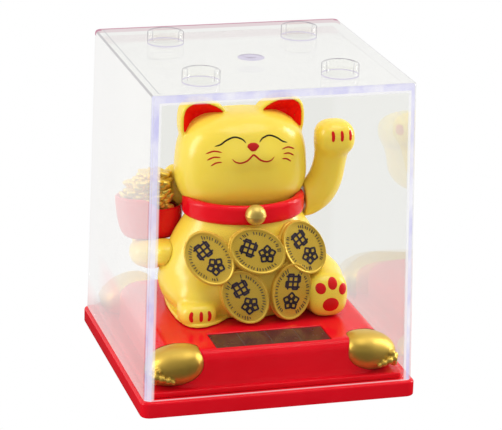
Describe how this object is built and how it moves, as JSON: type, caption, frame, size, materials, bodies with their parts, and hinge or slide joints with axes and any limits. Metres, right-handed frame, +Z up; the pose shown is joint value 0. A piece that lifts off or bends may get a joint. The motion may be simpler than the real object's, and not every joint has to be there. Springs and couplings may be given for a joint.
{
  "type": "beckoning cat figurine",
  "caption": "Seated beckoning cat on a red base under a lift-off clear cover, with an arm that swings from a solar-driven pendulum.",
  "frame": {"origin": "centre of the base tray's underside", "axes": "+Z up, -Y towards the front the cat faces, +X towards the waving arm, the viewer's right"},
  "size_m": [0.096, 0.096, 0.1145],
  "materials": {
    "arm_axle": "bright turned steel",
    "axle_end_cap": "pale moulded plastic",
    "axle_frame": "pale moulded plastic",
    "balance_weight": "plain cast weight",
    "base_screw_back_left": "bright turned steel",
    "base_screw_back_right": "bright turned steel",
    "base_screw_front_left": "bright turned steel",
    "base_screw_front_right": "bright turned steel",
    "base_tray": "glossy red moulding",
    "bell": "satin gold plating on plastic",
    "board_screw_left": "bright turned steel",
    "board_screw_right": "bright turned steel",
    "body_back_shell": "satin warm yellow moulding",
    "body_front_shell": "satin warm yellow moulding",
    "body_screw_left": "bright turned steel",
    "body_screw_right": "bright turned steel",
    "chip_blob": "black potted drop",
    "circuit_board": "green lacquered board",
    "clear_cover": "clear moulded plastic",
    "coil_bobbin": "pale moulded plastic",
    "coin_backing": "satin gold plating on plastic",
    "coin_lower_left": "satin gold plating on plastic",
    "coin_lower_right": "satin gold plating on plastic",
    "coin_upper_centre": "satin gold plating on plastic",
    "coin_upper_left": "satin gold plating on plastic",
    "coin_upper_right": "satin gold plating on plastic",
    "collar": "glossy red moulding",
    "drive_coil": "lacquered copper winding",
    "frame_screw_left": "bright turned steel",
    "frame_screw_right": "bright turned steel",
    "gold_heap": "satin gold plating on plastic",
    "head_back_shell": "satin warm yellow moulding",
    "head_front_shell": "satin warm yellow moulding",
    "holding_arm": "satin warm yellow moulding",
    "ingot_back_left": "satin gold plating on plastic",
    "ingot_back_right": "satin gold plating on plastic",
    "ingot_front_left": "satin gold plating on plastic",
    "ingot_front_right": "satin gold plating on plastic",
    "pedestal_shell": "glossy red moulding",
    "pendulum_arm": "pale moulded plastic",
    "pendulum_magnet": "nickel-plated magnet",
    "solar_cell": "dark glossy cell glass",
    "solar_wire_black": "black insulated wire",
    "solar_wire_red": "red insulated wire",
    "storage_capacitor": "can in a plain dark sleeve",
    "treasure_bowl": "glossy red moulding",
    "waving_arm": "satin warm yellow moulding"
  },
  "bodies": {
    "base": {"axle_frame": "axle_frame", "base_screw_back_left": "base_screw_back_left", "base_screw_back_right": "base_screw_back_right", "base_screw_front_left": "base_screw_front_left", "base_screw_front_right": "base_screw_front_right", "base_tray": "base_tray", "bell": "bell", "board_screw_left": "board_screw_left", "board_screw_right": "board_screw_right", "body_back_shell": "body_back_shell", "body_front_shell": "body_front_shell", "body_screw_left": "body_screw_left", "body_screw_right": "body_screw_right", "chip_blob": "chip_blob", "circuit_board": "circuit_board", "coil_bobbin": "coil_bobbin", "coin_backing": "coin_backing", "coin_lower_left": "coin_lower_left", "coin_lower_right": "coin_lower_right", "coin_upper_centre": "coin_upper_centre", "coin_upper_left": "coin_upper_left", "coin_upper_right": "coin_upper_right", "collar": "collar", "drive_coil": "drive_coil", "frame_screw_left": "frame_screw_left", "frame_screw_right": "frame_screw_right", "gold_heap": "gold_heap", "head_back_shell": "head_back_shell", "head_front_shell": "head_front_shell", "holding_arm": "holding_arm", "ingot_back_left": "ingot_back_left", "ingot_back_right": "ingot_back_right", "ingot_front_left": "ingot_front_left", "ingot_front_right": "ingot_front_right", "pedestal_shell": "pedestal_shell", "solar_cell": "solar_cell", "solar_wire_black": "solar_wire_black", "solar_wire_red": "solar_wire_red", "storage_capacitor": "storage_capacitor", "treasure_bowl": "treasure_bowl"},
    "arm": {"waving_arm": "waving_arm", "arm_axle": "arm_axle", "axle_end_cap": "axle_end_cap", "pendulum_arm": "pendulum_arm", "pendulum_magnet": "pendulum_magnet", "balance_weight": "balance_weight"},
    "cover": {"clear_cover": "clear_cover"}
  },
  "joints": [
    {"name": "arm_swing", "type": "hinge", "parent": "base", "child": "arm", "pos_m": [0, 0.007, 0.055], "axis": [1, 0, 0], "range_deg": [-14, 14]},
    {"name": "cover_lift", "type": "slide", "parent": "base", "child": "cover", "axis": [0, 0, 1], "range_m": [0, 0.12]}
  ]
}
